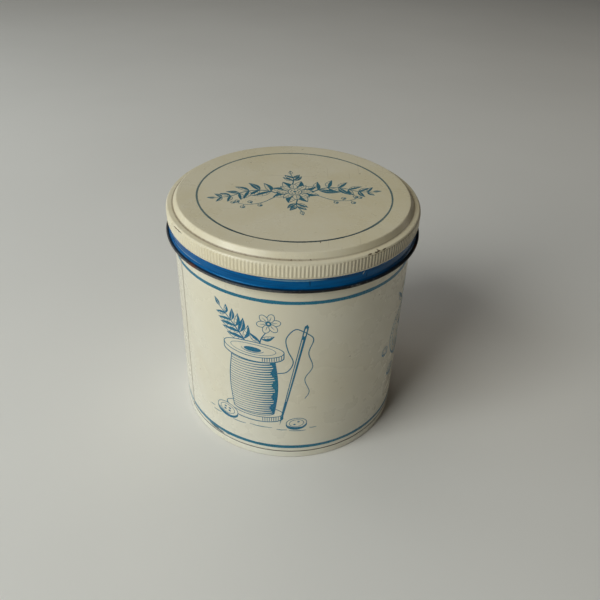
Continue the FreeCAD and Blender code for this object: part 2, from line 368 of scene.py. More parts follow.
def lid_material(name, level, tint):
    g = Nodes(name)
    col, slow, fine, freckle = enamel_base(g, 1.0, LID_CREAM)
    rag = g.noise(0.9, 4.0, 0.65)
    arc = g.math("MULTIPLY", g.a, 57.0)
    # Painted shade with some dirt in the corner round the panel, fading towards the right; painted shade with some
    # grime between the ribs, more on the right where they are shaded.
    corner_shade_and_dirt = g.mul(g.smooth(g.r, 54.05, 54.35), g.smooth(g.r, 54.55, 55.20, 1.0, 0.0), g.smooth(g.z, 112.4, 112.6))
    col = g.mix(g.mul(corner_shade_and_dirt, g.smooth(rag, 0.25, 0.75, 0.52, 0.80), g.smooth(g.x, -10.0, 24.0, 1.0, 0.40)), col, BROWN)
    knurl = g.mul(g.smooth(g.z, 106.4, 106.9), g.smooth(g.z, 112.0, 112.5, 1.0, 0.0))
    # Painted shade, with some grime, at the rib roots and over the lower ribs, growing towards the right.
    rib_root_shade_and_grime = g.mul(g.smooth(g.r, 57.20, 57.36, 1.0, 0.0), knurl)
    col = g.mix(g.mul(rib_root_shade_and_grime, g.smooth(g.x, 8.0, 42.0, 0.03, 0.85), g.smooth(rag, 0.2, 0.8, 0.7, 1.15)), col, lin(72, 52, 30))
    col = g.mix(g.mul(knurl, g.smooth(g.z, 106.4, 110.5, 0.34, 0.0), g.smooth(g.x, 18.0, 50.0)), col, BROWN)
    # The blue of the band below the ribs, with a slightly wavy edge.
    wave = g.math("ADD", g.z, g.math("MULTIPLY", g.math("SUBTRACT", g.noise(0.35, 3.0), 0.5), 0.30))
    blue_at = g.smooth(wave, 105.78, 105.93, 1.0, 0.0)
    streak = g.noise(0.25, 3.0, 0.6, g.vec(g.math("MULTIPLY", g.a, 16.0), 0.0, g.math("MULTIPLY", g.z, 4.0)))
    blue = g.mix(g.smooth(streak, 0.35, 0.7), BLUE, BLUE_DEEP)
    # Painted shade: the blue darkens towards the right side.
    blue = g.mix(g.smooth(g.x, 16.0, 54.0, 0.0, 0.45), blue, lin(0, 28, 50))
    col = g.mix(blue_at, col, blue)
    # Its upper edge is paler at the front, partly rubbed paint and partly a painted reflection; the knock beside that
    # gets painted shade over its upper half and in its creases.
    pale_rub_and_reflection = g.mark(arc, g.z, 3.0 * D2R * 57, 105.05, 16.0, 0.45, 0.0, 0.8, rag)
    col = g.mix(g.mul(pale_rub_and_reflection, 0.75), col, lin(122, 154, 164))
    # Pale streaks low on the band at the left: painted reflection of the light, with some worn paint.
    reflection_and_wear_low = g.most(
        g.mark(arc, g.z, -72.0 * D2R * 57, 103.2, 9.0, 0.80, 0.0, 0.7, rag, 0.6),
        g.mark(arc, g.z, -53.0 * D2R * 57, 102.55, 16.0, 0.42, 0.0, 0.7, rag, 0.6))
    col = g.mix(g.mul(reflection_and_wear_low, 0.65), col, lin(140, 176, 204))
    # Painted shade over the upper half of the knock and in its two creases.
    shade = g.mark(arc, g.z, 20.5 * D2R * 57, 105.05, 12.3, 0.60, -1.5, 0.5, rag, 0.6)
    crease_shades = [
        g.mark(arc, g.z, 8.3 * D2R * 57, 103.7, 0.24, 1.7, 4.0, 0.8, rag),
        g.mark(arc, g.z, 33.2 * D2R * 57, 103.4, 0.22, 1.4, -10.0, 0.8, rag)]
    col = g.mix(g.most(g.mul(shade, 0.55), g.mul(g.most(*crease_shades), 0.8)), col, lin(4, 22, 44))
    tick = g.mark(arc, g.z, 31.6 * D2R * 57, 104.6, 0.30, 0.9, -28.0, 0.7, rag)
    col = g.mix(g.mul(tick, 0.75), col, lin(176, 184, 178))
    # The lip below the band: dirt lies on it, and the edge of its hem is rubbed bare.
    out = g.math("ADD", g.r, g.math("MULTIPLY", g.math("SUBTRACT", rag, 0.5), 0.30))
    low = g.smooth(g.z, 101.35, 101.65, 1.0, 0.0)
    lip = g.mul(g.smooth(out, 56.84, 57.10), low)
    dirt = g.mix(g.smooth(g.noise(0.22, 3.0), 0.42, 0.65), lin(8, 30, 44), lin(30, 32, 32))
    col = g.mix(g.mul(lip, 0.93), col, dirt)
    hem = g.mul(g.smooth(out, 57.62, 57.84), low)
    patch = g.math("ADD", g.x, g.math("MULTIPLY", g.math("SUBTRACT", g.noise(0.12, 3.0), 0.5), 46.0))
    bare = g.mix(g.smooth(patch, -9.0, 3.0), lin(80, 76, 72), lin(42, 36, 31))
    bare = g.mix(g.smooth(fine, 0.52, 0.74, 0.0, 0.5), bare, lin(132, 130, 126))
    # Painted shade: the lower edge of the hem is darkened where it meets the gap to the wall.
    bare = g.mix(g.smooth(g.z, 100.15, 100.50, 0.75, 0.0), bare, lin(34, 29, 27))
    col = g.mix(g.mul(hem, 0.95), col, bare)
    rusty = g.most(
        g.mark(arc, g.z, -45.0 * D2R * 57, 100.5, 3.4, 0.75, 0.0, 1.6, rag),
        g.mark(arc, g.z, 70.0 * D2R * 57, 100.5, 3.0, 0.7, 0.0, 1.6, rag),
        g.mark(arc, g.z, -128.0 * D2R * 57, 100.5, 2.4, 0.7, 0.0, 1.6, rag),
        g.mark(arc, g.z, 150.0 * D2R * 57, 100.5, 6.0, 0.7, 0.0, 1.6, rag))
    rusty = g.mul(rusty, g.smooth(out, 57.2, 57.6), low)
    col = g.mix(g.mul(rusty, 0.8), col, RUST)
    # Chips on the rim and specks of dirt on the top.
    chips = [
        g.mark(arc, g.z, 33.6 * D2R * 57, 112.75, 1.3, 0.24, 4.0, 1.5, rag),
        g.mark(arc, g.z, 36.8 * D2R * 57, 112.72, 0.8, 0.28, -6.0, 1.5, rag),
        g.mark(arc, g.z, 38.3 * D2R * 57, 112.80, 0.9, 0.26, 0.0, 1.5, rag),
        g.mark(arc, g.z, 41.2 * D2R * 57, 112.70, 1.3, 0.24, 5.0, 1.5, rag),
        g.mark(arc, g.z, -56.3 * D2R * 57, 112.06, 5.2, 0.30, 1.5, 1.2, rag),
        g.mark(arc, g.z, 118.0 * D2R * 57, 112.7, 1.6, 0.30, 0.0, 1.5, rag),
        g.mark(arc, g.z, -152.0 * D2R * 57, 112.6, 2.2, 0.24, 3.0, 1.5, rag),
        g.mark(arc, g.z, 163.0 * D2R * 57, 112.3, 1.2, 0.30, 0.0, 1.5, rag),
    ]
    specks = [
        g.mark(g.x, g.y, 0.56, -54.4, 0.45, 0.20, 10.0, 1.0, rag),
        g.mark(g.x, g.y, 8.08, -53.8, 0.40, 0.20, -20.0, 1.0, rag),
        g.mark(g.x, g.y, 11.8, -44.1, 0.22, 0.75, 8.0, 0.8, rag),
        g.mark(g.x, g.y, -22.0, 30.0, 0.35, 0.35, 0.0, 0.8, rag),
        g.mark(g.x, g.y, 31.0, 21.5, 0.30, 0.40, 0.0, 0.8, rag),
        g.mark(g.x, g.y, 3.0, 48.5, 0.9, 0.20, 30.0, 0.9, rag),
    ]
    top = g.smooth(g.z, 112.3, 112.5)
    dark_at = g.most(*chips, g.mul(g.most(*specks), top))
    col = g.mix(g.mul(dark_at, 0.88), col, g.mix(g.smooth(fine, 0.4, 0.65), DARK, BROWN))
    worn = g.most(dark_at, g.mul(hem, 0.7), rusty, g.mul(lip, 0.5))
    # Hairlines on the flat panel from being slid about.
    hair = g.mul(g.most(scuffs(g, (0.02, 0.9, 1.0), 1.0, 0.70, 0.76), scuffs(g, (0.7, 0.03, 1.0), 1.0, 0.72, 0.77)), g.smooth(g.z, 115.2, 115.4))
    col = g.mix(g.mul(hair, 0.10), col, BROWN)
    g.set("Base Color", col)
    rough = g.math("ADD", g.smooth(g.noise(0.06, 4.0, 0.6), 0.3, 0.7, 0.24, 0.36), g.math("MULTIPLY", hair, 0.10))
    gloss = g.smooth(streak, 0.3, 0.7, 0.12, 0.20)
    rough = g.math("ADD", g.mul(rough, g.invert(blue_at)), g.mul(gloss, blue_at))
    g.set("Roughness", g.math("ADD", rough, g.math("MULTIPLY", worn, 0.35), 0.0, True))
    g.set("Specular IOR Level", level)
    g.set("Specular Tint", tint)
    n = g.bump(g.noise(0.30, 2.0, 0.5), 0.14, 0.00012)
    n = g.bump(fine, 0.08, 0.00004, n)
    g.set("Normal", g.bump(g.invert(worn), 0.5, 0.00008, n))
    return g.mat


def wall_material():
    g = Nodes("wall_enamel_print")
    col, slow, fine, freckle = enamel_base(g, 0.38, CREAM, 0.12)
    rag = g.noise(0.9, 4.0, 0.65)
    arc = g.math("MULTIPLY", g.a, 55.0)
    # Less yellowed towards the foot, a brownish tone darkening the wall just under the lid, faint upright streaks.
    low = g.smooth(g.math("ADD", g.z, g.math("MULTIPLY", slow, 14.0)), 8.0, 62.0, 1.0, 0.0)
    col = g.mix(g.mul(low, 0.45), col, lin(231, 228, 215))
    high = g.smooth(g.math("ADD", g.z, g.math("MULTIPLY", slow, -4.0)), 94.0, 99.5)
    col = g.mix(g.mul(high, 0.10), col, BROWN)
    streak = g.noise(0.22, 3.0, 0.6, g.vec(g.math("MULTIPLY", g.a, 60.0), 0.0, g.math("MULTIPLY", g.z, 0.12)))
    col = g.mix(g.smooth(streak, 0.55, 0.85, 0.0, 0.11), col, CREAM_OLD)
    # Dirt in the line of the side seam.
    off = g.math("ABSOLUTE", g.math("SUBTRACT", arc, SEAM_LINE * 55.0))
    seam = g.mul(g.smooth(off, 0.10, 0.30, 1.0, 0.0), g.smooth(rag, 0.2, 0.7, 0.55, 0.95))
    halo = g.mul(g.smooth(off, 0.2, 1.3, 1.0, 0.0), 0.12)
    col = g.mix(halo, col, BROWN)
    col = g.mix(seam, col, lin(84, 70, 50))
    # Grey rub marks by the lower line and small knocks elsewhere.
    rubs = g.most(
        g.mark(arc, g.z, -40.5 * D2R * 55, 6.0, 4.8, 1.15, -6.0, 0.9, rag),
        g.mark(arc, g.z, -36.5 * D2R * 55, 5.4, 3.2, 0.75, -5.0, 1.0, rag),
        g.mark(arc, g.z, -31.5 * D2R * 55, 6.2, 1.6, 0.28, 0.0, 1.3, rag))
    col = g.mix(g.mul(rubs, 0.92), col, lin(58, 82, 98))
    knocks = g.most(
        g.mark(arc, g.z, 30.0 * D2R * 55, 60.0, 0.55, 0.30, 30.0, 1.2, rag),
        g.mark(arc, g.z, 44.0 * D2R * 55, 88.0, 0.40, 0.30, 0.0, 1.2, rag),
        g.mark(arc, g.z, -50.0 * D2R * 55, 38.0, 0.30, 0.55, 0.0, 1.2, rag),
        g.mark(arc, g.z, 140.0 * D2R * 55, 30.0, 1.2, 0.30, 20.0, 1.3, rag),
        g.mark(arc, g.z, -160.0 * D2R * 55, 72.0, 0.35, 0.9, 15.0, 1.3, rag),
        g.mark(arc, g.z, -95.0 * D2R * 55, 20.0, 0.9, 0.35, -30.0, 1.3, rag))
    col = g.mix(g.mul(knocks, 0.75), col, BROWN)
    # Dark line in the crevice at the foot of the wall: partly dirt, partly painted shade.
    crevice_dirt_and_shade = g.smooth(g.math("ADD", g.r, g.math("MULTIPLY", g.math("SUBTRACT", rag, 0.5), 0.10)), 54.70, 54.93, 1.0, 0.0)
    col = g.mix(g.mul(crevice_dirt_and_shade, 0.88), col, DARK)
    g.set("Base Color", col)
    hair = g.most(scuffs(g, (0.5, 0.5, 0.03), 1.0, 0.71, 0.77), scuffs(g, (0.05, 0.05, 0.9), 1.0, 0.73, 0.78))
    rough = g.math("ADD", g.smooth(g.noise(0.05, 4.0, 0.6), 0.3, 0.7, 0.22, 0.34), g.math("MULTIPLY", hair, 0.08))
    worn = g.most(rubs, knocks, crevice_dirt_and_shade)
    g.set("Roughness", g.math("ADD", rough, g.math("MULTIPLY", worn, 0.3), 0.0, True))
    g.set("Specular IOR Level", 0.5)
    n = g.bump(g.noise(0.28, 2.0, 0.5), 0.05, 0.00012)
    n = g.bump(fine, 0.06, 0.00004, n)
    g.set("Normal", g.bump(g.invert(worn), 0.4, 0.00006, n))
    return g.mat


def bottom_material():
    g = Nodes("bottom_enamel")
    col, slow, fine, freckle = enamel_base(g, 0.7, lin(231, 228, 214))
    rag = g.noise(0.9, 4.0, 0.65)
    # Bare and rusty where the foot rubs, dirt in the step under the tin.
    foot = g.mul(g.smooth(g.math("ADD", g.z, g.math("MULTIPLY", g.math("SUBTRACT", rag, 0.5), 0.9)), 0.02, 0.50, 1.0, 0.0), g.smooth(g.r, 53.0, 53.4))
    metal = g.mix(g.smooth(g.noise(0.35, 4.0, 0.6), 0.45, 0.62), lin(132, 128, 120), RUST)
    col = g.mix(g.mul(foot, 0.75), col, metal)
    under = g.smooth(g.r, 53.2, 53.5, 1.0, 0.0)
    ring = g.mul(under, g.mul(g.smooth(g.r, 43.2, 44.4), g.smooth(g.r, 45.4, 46.4, 1.0, 0.0)))
    edge = g.mul(under, g.smooth(g.r, 50.0, 53.2))
    col = g.mix(g.mul(g.most(ring, edge), g.smooth(rag, 0.3, 0.7, 0.15, 0.55)), col, BROWN)
    blot = g.mul(under, g.smooth(g.noise(0.055, 5.0, 0.7), 0.60, 0.72))
    col = g.mix(g.mul(blot, 0.45), col, RUST)
    # Dark line in the crevice above the bottom seam: partly dirt, partly painted shade.
    crevice_dirt_and_shade = g.mul(g.smooth(g.z, 3.72, 3.92), g.smooth(g.r, 54.0, 54.02))
    col = g.mix(g.mul(crevice_dirt_and_shade, 0.8), col, DARK)
    g.set("Base Color", col)
    rough = g.smooth(g.noise(0.05, 4.0, 0.6), 0.3, 0.7, 0.26, 0.42)
    g.set("Roughness", g.math("ADD", rough, g.math("MULTIPLY", g.most(foot, blot), 0.3), 0.0, True))
    n = g.bump(g.noise(0.30, 2.0, 0.5), 0.25, 0.00012)
    g.set("Normal", g.bump(g.invert(g.most(foot, blot)), 0.4, 0.00006, n))
    return g.mat


def tin_material(name, tone, grain):
    """Bare tinplate under a thin clear lacquer: rolling grain, stains, dull spots."""
    g = Nodes(name)
    if grain == "upright":
        line = g.noise(0.9, 4.0, 0.6, g.vec(g.math("MULTIPLY", g.a, 90.0), 0.0, g.math("MULTIPLY", g.z, 0.05)))
    else:
        line = g.noise(0.9, 4.0, 0.6, g.stretch(0.04, 2.2, 1.0))
    slow = g.noise(0.03, 4.0, 0.6)
    stain = g.smooth(g.noise(0.07, 5.0, 0.7), 0.56, 0.74)
    col = g.mix(g.smooth(line, 0.3, 0.7), tone, lin(172, 170, 162))
    col = g.mix(g.smooth(slow, 0.4, 0.7, 0.0, 0.45), col, lin(176, 160, 122))
    col = g.mix(g.mul(stain, 0.35), col, lin(112, 92, 66))
    dist, pickc = g.cells(0.16)
    spot = g.mul(g.smooth(dist, 0.05, 0.12, 1.0, 0.0), g.smooth(pickc, 0.66, 0.72))
    col = g.mix(g.mul(spot, 0.55), col, lin(86, 62, 42))
    g.set("Base Color", col)
    g.set("Metallic", 1.0)
    rough = g.smooth(line, 0.2, 0.8, 0.26, 0.42)
    g.set("Roughness", g.math("ADD", rough, g.math("MULTIPLY", g.most(stain, spot), 0.22), 0.0, True))
    n = g.bump(line, 0.12, 0.00005)
    g.set("Normal", g.bump(g.noise(0.15, 3.0), 0.15, 0.0002, n))
    return g.mat


def ink_material(name, tone, tone2, pale=None):
    """Printing ink on the enamel: uneven film with pinholes and rubbed spots.

    With pale given, the ink thins out to that tone away from the front.
    """
    g = Nodes(name)
    fine = g.noise(1.6, 3.0, 0.6)
    slow = g.noise(0.08, 3.0, 0.6)
    col = g.mix(g.smooth(slow, 0.3, 0.7), tone, tone2)
    if pale is not None:
        col = g.mix(g.smooth(g.y, -42.0, -22.0), col, pale)
    col = g.mix(g.smooth(fine, 0.58, 0.82, 0.0, 0.18), col, CREAM)
    g.set("Base Color", col)
    g.set("Roughness", g.smooth(fine, 0.3, 0.7, 0.24, 0.38))
    g.set("Specular IOR Level", 0.5)
    g.set("Normal", g.bump(fine, 0.08, 0.00003))
    return g.mat


def solder_material():
    g = Nodes("solder_metal")
    big = g.noise(0.35, 4.0, 0.6)
    col = g.mix(g.smooth(big, 0.35, 0.65), lin(138, 138, 136), lin(96, 96, 94))
    col = g.mix(g.smooth(g.noise(0.12, 3.0), 0.60, 0.75, 0.0, 0.5), col, lin(92, 74, 54))
    g.set("Base Color", col)
    g.set("Metallic", 1.0)
    g.set("Roughness", g.smooth(big, 0.3, 0.7, 0.38, 0.58))
    g.set("Normal", g.bump(g.noise(1.1, 3.0), 0.4, 0.0002))
    return g.mat


def compound_material():
    g = Nodes("sealing_compound")
    big = g.noise(0.5, 4.0, 0.6)
    g.set("Base Color", g.mix(g.smooth(big, 0.3, 0.7), lin(42, 40, 38), lin(64, 60, 55)))
    g.set("Roughness", g.smooth(big, 0.3, 0.7, 0.62, 0.80))
    g.set("Normal", g.bump(g.noise(2.0, 3.0), 0.5, 0.0001))
    return g.mat


def floor_material():
    g = Nodes("floor_paper")
    big = g.noise(0.004, 3.0, 0.5)
    g.set("Base Color", g.mix(g.smooth(big, 0.3, 0.7), lin(238, 235, 229), lin(234, 231, 225)))
    g.set("Roughness", g.smooth(g.noise(0.4, 3.0), 0.3, 0.7, 0.62, 0.72))
    g.set("Specular IOR Level", 0.25)
    return g.mat


MAT_LID = lid_material("lid_enamel_print", 0.5, (1.0, 1.0, 1.0, 1.0))
MAT_BAND = lid_material("lid_band_print", 0.28, (0.22, 0.66, 1.0, 1.0))
MAT_WALL = wall_material()
MAT_BOTTOM = bottom_material()
MAT_TIN_UP = tin_material("tinplate_wall_inside", lin(196, 194, 186), "upright")
MAT_TIN_FLAT = tin_material("tinplate_flat_inside", lin(196, 194, 186), "flat")
MAT_INK = ink_material("print_blue", lin(0, 102, 138), lin(0, 108, 134))
MAT_INK_LID = ink_material("print_blue_pale", lin(66, 116, 130), lin(54, 108, 126))
MAT_LINE = ink_material("line_blue", lin(0, 112, 141), lin(0, 104, 132))
MAT_RING = ink_material("ring_grey_blue", lin(62, 78, 78), lin(48, 72, 82), lin(102, 121, 120))


# ------------------------------------------------------------------------ lid
RIB = 2.0 * math.pi / RIBS
DENT_MID, DENT_HALF = 20.5 * D2R, 12.5 * D2R


def lid_place(row, a):
    r = np.full(len(a), row.r)
    z = np.full(len(a), row.z)
    if row.kind == "rib":
        p = a / RIB
        crest = 0.5 - 0.5 * np.cos(2.0 * math.pi * p)
        h = 0.12 + 0.20 * crest
        r = r + h * float(sstep(row.z, 106.62, 107.05)) * float(1.0 - sstep(row.z, 111.90, 112.55))
    if row.z < 105.6 and row.r > 55.0:
        # Knock that pressed the band in at the front right, with a crease at each end.
        t = np.clip(np.abs(wrap(a - DENT_MID)) / DENT_HALF, 0.0, 1.0)
        deep = np.where(t < 1.0, (1.0 - t ** 2) ** 0.45, 0.0)
        crease = np.exp(-((wrap(a - (DENT_MID - DENT_HALF)) / (0.45 * D2R)) ** 2)) + 0.8 * np.exp(-((wrap(a - (DENT_MID + DENT_HALF)) / (0.5 * D2R)) ** 2))
        w = float(sstep(row.z, 101.8, 104.3)) * float(1.0 - sstep(row.z, 104.3, 105.5))
        r = r - w * (0.20 * deep + 0.08 * crease)
        # The lip was turned and hemmed by hand pressure: it wanders a little.
        v = float(1.0 - sstep(row.z, 102.0, 104.0))
        r = r + v * (0.035 * np.sin(3.0 * a + 0.7) + 0.02 * np.sin(7.0 * a))
        z = z + v * (0.05 * np.sin(2.0 * a + 1.9) + 0.025 * np.sin(9.0 * a + 0.4))
    return r, z


LID_TOP = 115.65
LID_OUT = [
    ("L", 52.20, [5.0, 20.0, 35.0, 41.0, 43.0, 45.0, 48.0, 50.5]),
    ("A", 0.90, -54.0, 9), ("L", 2.45, 4), ("A", 0.45, 50.0, 8), ("L", 1.65899, 3), ("A", 0.80, -86.0, 13),
    ("L", 5.74874, [0.02, 0.3, 1.0, 4.6, 4.9, 5.15, 5.37, 5.47, 5.60]),
    ("A", 0.70, -52.0, 6), ("A", 0.60093, 52.0, 6), ("L", 3.52044, 9), ("A", 0.90, 78.0, 10), ("L", 0.55317, 2),
    ("A", 0.50, -180.0, 12), ("L", 0.70, 1)]
LID_IN = [
    ("L", 52.20, [8.0, 20.0, 32.0, 42.0, 48.0]),
    ("A", 0.90, -54.0, 6), ("L", 2.45, 2), ("A", 0.45, 50.0, 6), ("L", 1.65899, 2), ("A", 0.80, -86.0, 8),
    ("L", 5.74874, 3),
    ("A", 0.70, -52.0, 4), ("A", 0.60093, 52.0, 4), ("L", 3.52044, 9), ("A", 0.90, 78.0, 6), ("L", 0.55317, 2),
    ("A", 0.50, -180.0, 8), ("L", 0.70, 1)]


def make_lid():
    outer = path((0.0, LID_TOP), 0.0, LID_OUT)
    inner = shift(path((0.0, LID_TOP), 0.0, LID_IN), -1.0)
    rows = []
    for r, z, d in outer:
        top = r < 56.6 and z > 111.0
        rib = r > 56.3 and 106.4 < z < 112.6 and d < -0.2
        rows.append(Row(max(r, 0.0), z, "rib" if rib else "plain", 4 if rib else 1, 2 if z < 106.2 else 0, 0 if top else 1))
    for r, z, d in reversed(inner):
        top = r < 55.2 and z > 111.0
        rows.append(Row(max(r, 0.0), z, "plain", 1, 1, 3 if top else 2))
    angles = np.arange(2 * RIBS) * (math.pi / RIBS) - math.pi
    charts = {
        0: ("disc", 0.005, 0.36, 0.635, 0.99, 57.5),
        1: ("strip", 0.005, 0.255, 0.995, 0.345),
        2: ("strip", 0.005, 0.155, 0.995, 0.245),
        3: ("disc", 0.65, 0.64, 0.995, 0.985, 57.5)}
    lid = turned_skin("lid_shell_skin", rows, angles, lid_place, charts)
    lid.data.materials.append(MAT_LID)
    lid.data.materials.append(MAT_TIN_FLAT)
    lid.data.materials.append(MAT_BAND)
    return lid


lid = make_lid()
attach(lid, "lid")
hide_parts("lid_shell")


# ----------------------------------------------------------------------- wall
def wall_wave(a, z):
    """Slow unevenness of the rolled wall, so that reflections aren't ruled straight."""
    calm = np.clip(np.minimum((z - 6.0) / 12.0, (106.0 - z) / 12.0), 0.0, 1.0)
    return calm * (0.05 * np.sin(2.0 * a + 0.6) * np.sin(z / 34.0) + 0.03 * np.sin(5.0 * a + z / 21.0) + 0.02 * np.sin(9.0 * a - z / 16.0 + 1.0))


def seam_step(a):
    """Outside of the side seam: a shallow line, and the lap beside it a little proud."""
    d = wrap(a - SEAM_LINE) * 55.0
    line = -0.16 * np.exp(-(d / 0.17) ** 2)
    lap = np.where(d < 0.0, 0.07 * np.clip(1.0 + d / 5.0, 0.0, 1.0), 0.0) * sstep(-d, 0.05, 0.4)
    return line + lap


def outer_offset(a, z):
    fade = sstep(z, 5.0, 5.9) * (1.0 - sstep(z, 110.0, 111.0))
    return wall_wave(a, z) + fade * seam_step(a)


def wall_place(row, a):
    r = np.full(len(a), row.r)
    z = np.full(len(a), row.z)
    if row.kind == "out":
        r = r + outer_offset(a, z)
    elif row.kind == "in":
        r = r + wall_wave(a, z)
        d = np.abs(wrap(a - FOLD_MID)) * 54.2
        up = 1.0 - sstep(d, FOLD_HALF - 0.30, FOLD_HALF + 0.06)
        dome = 1.0 - 0.06 * (d / FOLD_HALF) ** 2
        ends = float(sstep(row.z, FOLD_LOW - 0.15, FOLD_LOW + 0.35)) * float(1.0 - sstep(row.z, FOLD_HIGH - 0.35, FOLD_HIGH + 0.15))
        r = r - FOLD_DEPTH * up * dome * ends
    return r, z


def wall_angles():
    a = list(np.arange(360) * D2R - math.pi + 0.5 * D2R)
    keep = []
    for v in a:
        d = wrap(v - FOLD_MID) * 55.0
        if not -3.4 < d < 3.4:
            keep.append(v)
    fine = [-3.2, -2.75, -2.5, -2.4, -2.3, -2.22, -2.14, -2.06, -1.98, -1.9, -1.6, -1.0, -0.3, 0.4, 1.0, 1.4]
    g = SEAM_LINE - FOLD_MID
    fine += [g * 55.0 + o for o in (-0.55, -0.40, -0.30, -0.22, -0.15, -0.09, -0.03, 0.03, 0.09, 0.15, 0.22, 0.30, 0.42, 0.62, 0.9, 1.2)]
    keep += [FOLD_MID + o / 55.0 for o in fine]
    return np.array(sorted(keep))


def make_wall():
    # The foot of the wall is hooked into the bottom seam, its mouth is rolled outward.
    low, neck_r1, neck_r2 = 3.87, 0.40, 0.60
    z0 = low + neck_r1 + neck_r2
    mid = 111.867 - z0
    inner_cuts = [z - z0 for z in (5.4, 6.0, 6.2, 6.4, 6.6, 7.4, 10, 15, 20, 26, 32, 38, 44, 50, 56, 62, 68, 74, 80, 86, 92, 98, 103, 106.4, 107.1, 107.35, 107.6, 107.8, 109)]
    outer_cuts = [z - z0 for z in (5.15, 5.4, 5.65, 5.9, 6.6, 8, 11, 15, 20, 26, 32, 38, 44, 50, 56, 62, 68, 74, 80, 86, 92, 98, 103, 107, 109, 110, 110.3, 110.6, 111)]

    def steps(cuts, n):
        return [("L", 3.2 - 1.02, 1), ("A", 0.50, -180.0, 6), ("L", low - 1.02, 1),
                ("A", neck_r1, -90.0, 5), ("A", neck_r2, 90.0, 7), ("L", mid, cuts), ("A", 0.65, -295.0, n)]
    near = path((54.70, 3.2), -90.0, steps(inner_cuts, 30))
    far = shift(path((54.70, 3.2), -90.0, steps(outer_cuts, 18)), -1.0)
    rows = []
    for r, z, d in near:
        straight = abs(r - 54.70) < 1e-3 and z > z0 + 0.2 and z < 111.81
        rows.append(Row(r, z, "in" if straight else "plain", 1, 1, 1))
    for r, z, d in reversed(far):
        straight = abs(r - 55.00) < 1e-3 and z > z0 + 0.1 and z < 111.81
        rows.append(Row(r, z, "out" if straight else "plain", 1, 0, 0))
    charts = {0: ("strip", 0.003, 0.005, 0.997, 0.60), 1: ("strip", 0.003, 0.61, 0.997, 0.995)}
    wall = turned_skin("body_wall_skin", rows, wall_angles(), wall_place, charts, close=True)
    wall.data.materials.append(MAT_WALL)
    wall.data.materials.append(MAT_TIN_UP)
    return wall


wall = make_wall()
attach(wall, "can")
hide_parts("body_wall")


# --------------------------------------------------------------------- bottom
def bottom_place(row, a):
    r = np.full(len(a), row.r)
    z = np.full(len(a), row.z)
    if row.r < 50.0:
        z = z + 0.10 * math.cos(min(row.r / 44.0, 1.0) * math.pi * 0.5) * (1.0 + 0.25 * np.cos(2.0 * a + 0.5))
    return r, z


def make_bottom():
    def steps(n):
        return [("L", 44.0, [6.0, 14.0, 22.0, 30.0, 37.0, 42.0]), ("A", 1.2, -30.0, 2 * n), ("A", 1.2, 30.0, 2 * n), ("L", 7.45, 2),
                ("A", 0.70, -90.0, 3 * n), ("L", 2.30, 2), ("A", 0.60, 90.0, 4 * n), ("L", 0.5, 1), ("A", 0.60, 90.0, 4 * n),
                ("L", 2.90, 4), ("A", 0.50, 180.0, 6 * n), ("L", 2.25, 1)]
    near = path((0.0, 3.9215), 0.0, steps(3))
    far = shift(path((0.0, 3.9215), 0.0, steps(2)), 1.0)
    rows = []
    for r, z, d in near:
        rows.append(Row(max(r, 0.0), z, "plain", 1, 0, 0 if r < 52.7 else 1))
    for r, z, d in reversed(far):
        rows.append(Row(max(r, 0.0), z, "plain", 1, 1, 2 if r < 52.5 else 3))
    charts = {
        0: ("disc", 0.005, 0.505, 0.49, 0.99, 54.0), 1: ("strip", 0.005, 0.40, 0.995, 0.49),
        2: ("disc", 0.505, 0.505, 0.99, 0.99, 54.0), 3: ("strip", 0.005, 0.30, 0.995, 0.39)}
    angles = np.arange(360) * D2R - math.pi
    bottom = turned_skin("bottom_end_skin", rows, angles, bottom_place, charts, flip=True)
    bottom.data.materials.append(MAT_BOTTOM)
    bottom.data.materials.append(MAT_TIN_FLAT)
    return bottom


bottom = make_bottom()
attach(bottom, "can")
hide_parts("bottom_end")


# --------------------------------------------------------------------- solder
def make_solder():
    rng = np.random.default_rng(11)
    zs = np.linspace(6.9, 106.8, 180)
    lumps = np.convolve(rng.normal(0.0, 1.0, 200), np.ones(7) / 7.0, "valid")[:180]
    fine = rng.normal(0.0, 1.0, 180)
    size = 0.52 + 0.16 * lumps + 0.02 * fine
    size = np.clip(size, 0.30, 0.75) * np.sin(np.clip((zs - 6.9) / 1.2, 0.03, 1.0) * math.pi / 2) * np.sin(np.clip((106.8 - zs) / 1.2, 0.03, 1.0) * math.pi / 2)
    a0 = FOLD_MID - (FOLD_HALF - 0.05) / 54.6
    verts, faces = [], []
    ring = 9
    for z, s in zip(zs, size):
        ra = 54.7 + float(wall_wave(np.array([a0]), np.array([z]))[0])
        pts = [(0.06, 0.10), (-s, 0.10)]
        for i in range(1, ring - 3):
            t = i / (ring - 3)
            sag = 0.18 * s * math.sin(math.pi * t)
            pts.append((-s * (1 - t) + sag * 0.7 + 0.04 * t, 0.10 * (1 - t) - s * 1.15 * t + sag * 0.7))
        pts.append((0.06, -s * 1.15))
        for dr, dx in pts:
            r, a = ra + dr, a0 + dx / 54.6
            verts.append((r * math.sin(a) * MM, -r * math.cos(a) * MM, z * MM))
    n = len(pts)
    for k in range(len(zs) - 1):
        for i in range(n):
            j = (i + 1) % n
            faces.append((k * n + i, (k + 1) * n + i, (k + 1) * n + j, k * n + j))
    faces.append(tuple(range(n)))
    faces.append(tuple((len(zs) - 1) * n + i for i in reversed(range(n))))
    mesh = bpy.data.meshes.new("side_seam_solder_bead")
    mesh.from_pydata(verts, [], faces)
    mesh.polygons.foreach_set("use_smooth", np.ones(len(faces), bool))
    mesh.update()
    mesh.set_sharp_from_angle(angle=60.0 * D2R)
    obj = bpy.data.objects.new("side_seam_solder_bead", mesh)
    bpy.context.scene.collection.objects.link(obj)
    obj.data.materials.append(solder_material())
    return obj


solder = make_solder()
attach(solder, "can")
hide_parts("side_seam_solder")

